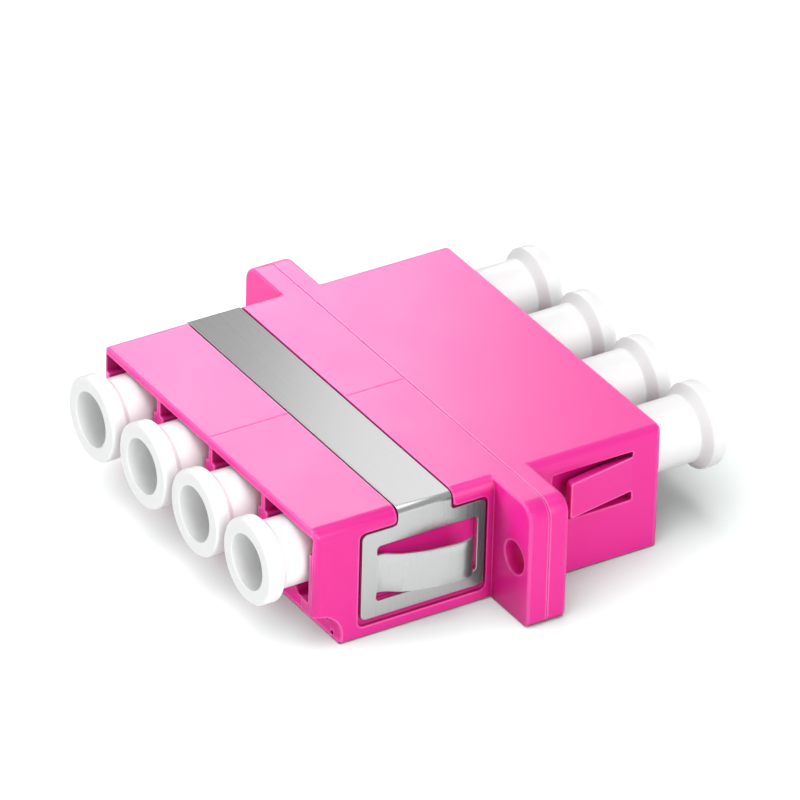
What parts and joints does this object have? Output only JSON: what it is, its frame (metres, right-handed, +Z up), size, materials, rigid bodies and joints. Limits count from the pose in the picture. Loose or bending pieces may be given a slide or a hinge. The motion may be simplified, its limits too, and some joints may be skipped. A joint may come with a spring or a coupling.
{
  "type": "fibre optic adapter",
  "caption": "Flanged multi-port fibre optic adapter: two-part moulded body, folded spring clip for a panel cut-out, and push-in dust caps in both rows of ports.",
  "frame": {"origin": "centre of the flange's panel face, midway between the two fixing holes", "axes": "+X across the ports, +Y along the fibres from the clip half to the plain half, +Z up, away from the latch side"},
  "size_m": [0.0336, 0.0329, 0.0086],
  "materials": {
    "housing_plastic": "moulded magenta plastic with a fine satin surface",
    "clip_steel": "cold-rolled spring steel",
    "cap_plastic": "moulded white polyethylene",
    "holder_plastic": "moulded magenta plastic",
    "sleeve_ceramic": "ground zirconia"
  },
  "bodies": {
    "adapter": {"front_housing": "housing_plastic", "rear_housing": "housing_plastic", "spring_clip": "clip_steel", "alignment_sleeve_1": "sleeve_ceramic", "sleeve_holder_front_1": "holder_plastic", "sleeve_holder_rear_1": "holder_plastic", "alignment_sleeve_2": "sleeve_ceramic", "sleeve_holder_front_2": "holder_plastic", "sleeve_holder_rear_2": "holder_plastic", "alignment_sleeve_3": "sleeve_ceramic", "sleeve_holder_front_3": "holder_plastic", "sleeve_holder_rear_3": "holder_plastic", "alignment_sleeve_4": "sleeve_ceramic", "sleeve_holder_front_4": "holder_plastic", "sleeve_holder_rear_4": "holder_plastic"},
    "cap_front_1": {"dust_cap_front_1": "cap_plastic"},
    "cap_front_2": {"dust_cap_front_2": "cap_plastic"},
    "cap_front_3": {"dust_cap_front_3": "cap_plastic"},
    "cap_front_4": {"dust_cap_front_4": "cap_plastic"},
    "cap_rear_1": {"dust_cap_rear_1": "cap_plastic"},
    "cap_rear_2": {"dust_cap_rear_2": "cap_plastic"},
    "cap_rear_3": {"dust_cap_rear_3": "cap_plastic"},
    "cap_rear_4": {"dust_cap_rear_4": "cap_plastic"}
  },
  "joints": [
    {"name": "cap_front_1_pull", "type": "slide", "parent": "adapter", "child": "cap_front_1", "axis": [0, -1, 0], "range_m": [0, 0.0098]},
    {"name": "cap_front_2_pull", "type": "slide", "parent": "adapter", "child": "cap_front_2", "axis": [0, -1, 0], "range_m": [0, 0.0098]},
    {"name": "cap_front_3_pull", "type": "slide", "parent": "adapter", "child": "cap_front_3", "axis": [0, -1, 0], "range_m": [0, 0.0098]},
    {"name": "cap_front_4_pull", "type": "slide", "parent": "adapter", "child": "cap_front_4", "axis": [0, -1, 0], "range_m": [0, 0.0098]},
    {"name": "cap_rear_1_pull", "type": "slide", "parent": "adapter", "child": "cap_rear_1", "axis": [0, 1, 0], "range_m": [0, 0.0072]},
    {"name": "cap_rear_2_pull", "type": "slide", "parent": "adapter", "child": "cap_rear_2", "axis": [0, 1, 0], "range_m": [0, 0.0072]},
    {"name": "cap_rear_3_pull", "type": "slide", "parent": "adapter", "child": "cap_rear_3", "axis": [0, 1, 0], "range_m": [0, 0.0072]},
    {"name": "cap_rear_4_pull", "type": "slide", "parent": "adapter", "child": "cap_rear_4", "axis": [0, 1, 0], "range_m": [0, 0.0072]}
  ]
}
